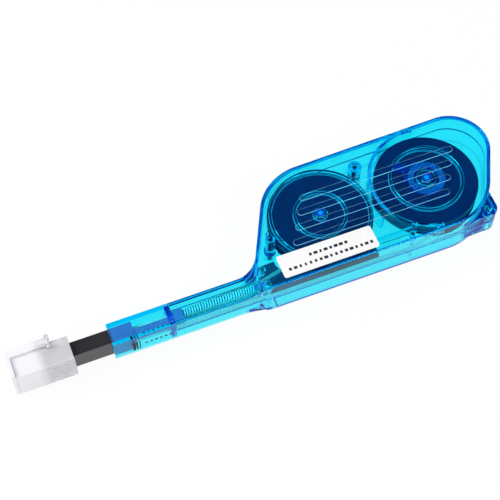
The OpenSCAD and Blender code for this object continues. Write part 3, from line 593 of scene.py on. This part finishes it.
def level_edges(node, level, axis=2):
    """The outlines of a node's flat faces at one level of an axis, each edge with its side wall's normal."""
    shape = bmesh.new()
    shape.from_mesh(merged_copy(node))
    found = []
    for edge in shape.edges:
        flat = [f for f in edge.link_faces if all(abs(v.co[axis] - level) < 0.02 * MM for v in f.verts)]
        if len(flat) == 1 and len(edge.link_faces) == 2:
            side = next(f for f in edge.link_faces if f is not flat[0])
            found.append(([v.co.copy() for v in edge.verts], side.normal.copy()))
    shape.free()
    return found


def set_in(edges, depth):
    """The edges moved in from their side walls by a depth, with the corners between them kept closed."""
    sides = {}
    for edge, side in edges:
        for point in edge:
            sides.setdefault(point.to_tuple(6), []).append(side)

    def shifted(point):
        around = sides[point.to_tuple(6)]
        middle = sum(around, Vector()).normalized()
        return point - middle * depth / max(0.5, middle.dot(around[0]))

    return [[shifted(point) for point in edge] for edge, side in edges]


def dress_edges():
    """Beads that paint the light in moulded edges: pale painted highlights on ribs, rings, crown and cap, deep
    blue painted shade in foot and axles.
    """
    to_camera, facing = Vector((-0.37, -0.93, 0)), 0.3
    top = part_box("top_shell")[1].z
    rings_below_top = 4.4 * MM
    ribs = level_edges("top_shell", top)
    near = [edge for edge, side in ribs if side.dot(to_camera) > facing]
    far = [edge for edge, side in ribs if side.dot(to_camera) <= facing]
    rings = [edge for edge, side in level_edges("top_shell", top - rings_below_top)]
    teeth = [edge for edge, side in level_edges("supply_crown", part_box("supply_crown")[1].z)]
    cap_side = [edge for edge, side in level_edges("guide_cap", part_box("guide_cap")[0].y, axis=1)]
    down, inward = Vector((0, 0, -1)), Vector((0, 1, 0))
    foot_in, axle_in = 0.42, 0.5
    floor_level, post_level = (corner.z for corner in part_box("bottom_shell"))
    foot = set_in(level_edges("bottom_shell", floor_level), foot_in * MM)
    axles = set_in(level_edges("bottom_shell", post_level), axle_in * MM)
    for name, node, radius_mm, material, edges, into in (
        ("foot_painted_shade", "bottom_shell", foot_in, shade_deep_blue, foot, -down),
        ("axle_painted_shade", "bottom_shell", axle_in, shade_deep_blue, axles, down),
        ("rib_highlight_near", "top_shell", 0.065, highlight_cyan, near, down),
        ("rib_highlight_far", "top_shell", 0.03, highlight_cyan, far, down),
        ("ring_highlight", "top_shell", 0.06, highlight_cyan, rings, down),
        ("crown_highlight", "supply_crown", 0.04, highlight_cyan, teeth, down),
        ("cap_highlight", "guide_cap", 0.07, highlight_white, cap_side, inward),
    ):
        radius = radius_mm * MM
        sunk = [[point + into * radius for point in edge] for edge in edges]
        show(name, bead_mesh(material, sunk, radius), material, body_of(node), slot_of(node))


def dress_nose():
    dress("nose_tube", nose_black, 0.25, 3)
    dress("push_rod", rod_violet, 0.15)
    dress("slider_rack", slide_black, 0.15)


def dress_reels():
    dress("drive_gear", gear_white, 0.1)
    dress("clutch_pawl", leaf_brass, 0.06)
    for reel in ("take_up", "supply"):
        dress(reel + "_spool", disc_black, 0.12)
        dress(reel + "_disc", disc_black, 0.15)
        wind_tape(reel)
    dress("supply_crown", crown_clear, 0.08)


def wind_tape(reel):
    """The tape on a reel, as a spiral strip in the space of its plain solid."""
    centre = axis_of(reel + "_turn")
    low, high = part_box(reel + "_tape")
    outer_r = (high.x - low.x) / 2
    inner_r, pitch, inside_solid = 5.2 * MM, 0.28 * MM, 0.15 * MM
    turns = (outer_r - inner_r) / pitch
    edge = wound("wound_" + reel, (0.86, 0.86, 0.85, 1), (0.7, 0.7, 0.7, 1), centre)
    mesh = winding_mesh(edge, inner_r, outer_r - inside_solid, low.z, high.z, turns)
    move(mesh, (centre.x, centre.y, 0))
    show(reel + "_winding", mesh, edge, reel, "tape", reel + "_tape")


def dress_spring():
    """The return spring as one wire."""
    low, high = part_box("return_spring")
    wire_r, turns = 0.3 * MM, 28.0
    coil_r = (high.z - low.z) / 2 - wire_r
    length = high.x - low.x - 2 * wire_r
    mesh = coil_mesh(spring_painted_glint, turns, coil_r, length, wire_r)
    middle = (low + high) / 2
    move(mesh, (low.x + wire_r, middle.y, middle.z))
    spring = show("return_spring_look", mesh, spring_painted_glint, "case", "steel", "return_spring")
    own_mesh(spring)


def dress_cap():
    dress("guide_cap", cap_frost, 0.15, 3)
    dress("cap_lid", cap_frost, 0.12, 3)
    dress("lid_pin", wire_steel, 0.05)


def move(mesh, place):
    """The mesh moved to its place."""
    for vertex in mesh.vertices:
        vertex.co += Vector(place)


def dress_label():
    """The film label, with two ruled rows of plain marks where the real one is printed."""
    dress("label", label_film, 0.04)
    low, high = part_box("label")
    sunk = 0.004 * MM
    top = high.z - sunk
    pitch, mark, tall, vary = 2.15 * MM, 1.8 * MM, 1.25 * MM, 0.6
    # each row's share of the label's width, count of marks, indent in mm and seed
    rows = ((0.3, 17, 3.4, 11), (0.64, 8, 13.2, 4))
    for index, (share, count, indent, seed) in enumerate(rows):
        mesh = marks_mesh(ink, count, pitch, mark, tall, vary, seed)
        y = low.y + share * (high.y - low.y)
        move(mesh, (low.x + indent * MM, y, top))
        show(f"label_marks_{index + 1}", mesh, ink, "case", "black")


def dress_sleeve_print():
    """Three printed bars and a row of plain marks on the near side of the sleeve."""
    low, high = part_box("front_sleeve")
    # each bar's place along the sleeve and its width, in mm
    bars = ((7.9, 1.05), (9.15, 0.56), (10.2, 0.45))
    bar_tall, bar_level, row_start, row_level = 6.1 * MM, 8.1 * MM, 12.9 * MM, 8.4 * MM
    for index, (along, wide) in enumerate(bars):
        bar = marks_mesh(ink, 1, 0.0, wide * MM, bar_tall, 0.0, 1)
        stand(bar, (low.x + along * MM, low.y, bar_level))
        show(f"sleeve_bar_{index + 1}", bar, ink, "case", "black")
    row = marks_mesh(ink, 6, 1.95 * MM, 1.4 * MM, 1.0 * MM, 0.4, 5)
    stand(row, (low.x + row_start, low.y, row_level))
    show("sleeve_marks", row, ink, "case", "black")


def stand(mesh, place):
    """The flat mesh stood up to face -Y and moved to its place, sunk a little so that it stays in the box."""
    sunk = 0.006 * MM
    for vertex in mesh.vertices:
        x, y, z = vertex.co
        vertex.co = (place[0] + x, place[1] + z + sunk, place[2] + y)


# Stage

def add_camera():
    """The camera where the photograph was taken from."""
    azimuth, elevation = math.radians(-21.445), math.radians(59.349)
    level = math.cos(elevation)
    back = Vector((math.sin(azimuth) * level, -math.cos(azimuth) * level, math.sin(elevation)))
    target = Vector((-2.645, -1.335, 9)) * MM
    distance = 0.5
    camera = bpy.data.objects.new("camera", bpy.data.cameras.new("camera"))
    camera.data.sensor_width = 36
    camera.data.lens = 90.3
    camera.data.clip_start = 0.01
    camera.data.clip_end = 20
    camera.location = target + back * distance
    camera.rotation_mode = "QUATERNION"
    camera.rotation_quaternion = (-back).to_track_quat("-Z", "Y")
    bpy.context.scene.collection.objects.link(camera)
    bpy.context.scene.camera = camera


def is_seen(tree):
    """1 where a camera, glossy or transmission ray looks, and 0 for the rays that carry light."""
    path = tree.nodes.new("ShaderNodeLightPath")
    total = 0.0
    for name in ("Is Camera Ray", "Is Glossy Ray", "Is Transmission Ray"):
        total = maths(tree, "MAXIMUM", path.outputs[name], total)
    return total


def maths(tree, operation, first, second):
    node = tree.nodes.new("ShaderNodeMath")
    node.operation = operation
    for socket, value in zip(node.inputs, (first, second)):
        if isinstance(value, bpy.types.NodeSocket):
            tree.links.new(value, socket)
        else:
            socket.default_value = value
    return node.outputs[0]


def add_floor():
    """A pale floor that looks white and keeps a soft shadow."""
    half, level, glow_share = 3.0, -0.15 * MM, 0.93
    mesh = bpy.data.meshes.new("floor")
    corners = [(-half, -half, level), (half, -half, level), (half, half, level), (-half, half, level)]
    mesh.from_pydata(corners, [], [(0, 1, 2, 3)])
    material, tree, output = start_material("floor_white")
    diffuse = add_node(tree, "ShaderNodeBsdfDiffuse", Color=(0.94, 0.94, 0.94, 1))
    glow = add_node(tree, "ShaderNodeEmission", Color=WHITE, Strength=1)
    mix = tree.nodes.new("ShaderNodeMixShader")
    tree.links.new(maths(tree, "MULTIPLY", is_seen(tree), glow_share), mix.inputs["Fac"])
    tree.links.new(diffuse.outputs["BSDF"], mix.inputs[1])
    tree.links.new(glow.outputs["Emission"], mix.inputs[2])
    tree.links.new(mix.outputs["Shader"], output.inputs["Surface"])
    mesh.materials.append(material)
    floor = bpy.data.objects.new("floor", mesh)
    bpy.context.scene.collection.objects.link(floor)


def add_lamp(name, place, size, radiance, only_glints=False):
    """A softbox that faces the object. One that only glints shows in reflections and lights nothing."""
    lamp = bpy.data.lights.new(name, "AREA")
    lamp.shape = "RECTANGLE"
    lamp.size, lamp.size_y = size
    lamp.energy = radiance * math.pi * size[0] * size[1]
    holder = bpy.data.objects.new(name, lamp)
    holder.location = place
    holder.rotation_mode = "QUATERNION"
    holder.rotation_quaternion = (-Vector(place)).to_track_quat("-Z", "Y")
    holder.visible_diffuse = not only_glints
    bpy.context.scene.collection.objects.link(holder)


def add_light():
    """A white studio with softboxes, and a dark card where the camera's look mirrors in flat top faces."""
    world = bpy.data.worlds.new("studio")
    bpy.context.scene.world = world
    world.use_nodes = True
    # each ray finds the world by its own kind, which lamp sampling of the world would mix up
    world.cycles.sampling_method = "NONE"
    tree = world.node_tree
    backdrop = tree.nodes["Background"]
    backdrop.inputs["Color"].default_value = WHITE
    place = tree.nodes.new("ShaderNodeTexCoord")
    nearness = tree.nodes.new("ShaderNodeVectorMath")
    nearness.operation = "DOT_PRODUCT"
    card_middle, light_elsewhere = (0.186, 0.474, 0.86), 0.6
    nearness.inputs[1].default_value = card_middle
    tree.links.new(place.outputs["Generated"], nearness.inputs[0])
    card = tree.nodes.new("ShaderNodeMapRange")
    card.interpolation_type = "SMOOTHSTEP"
    tree.links.new(nearness.outputs["Value"], card.inputs["Value"])
    for name, value in (("From Min", 0.72), ("From Max", 0.9), ("To Min", 1.0), ("To Max", 0.02)):
        card.inputs[name].default_value = value
    seen = is_seen(tree)
    bright = maths(tree, "MULTIPLY", card.outputs["Result"], seen)
    even = maths(tree, "MULTIPLY", maths(tree, "SUBTRACT", 1.0, seen), light_elsewhere)
    tree.links.new(maths(tree, "ADD", bright, even), backdrop.inputs["Strength"])
    add_lamp("key", (-0.68, 0.16, 0.62), (0.5, 0.5), 6)
    add_lamp("fill", (0.45, -0.6, 0.6), (0.5, 0.5), 3)
    # where the camera's look mirrors in the barrel's top, but not in the nose's or the head's
    add_lamp("barrel_glints", (0.079, 0.352, 0.615), (0.09, 0.035), 6, only_glints=True)


bpy.context.scene.view_settings.view_transform = "Standard"
# enough turns for light that is caught inside the clear walls
bpy.context.scene.cycles.max_bounces = 32
bpy.context.scene.cycles.glossy_bounces = 24
bpy.context.scene.cycles.transmission_bounces = 24
add_camera()
add_floor()
add_light()
dress_case()
dress_edges()
dress_nose()
dress_reels()
dress_spring()
dress_cap()
dress_label()
dress_sleeve_print()
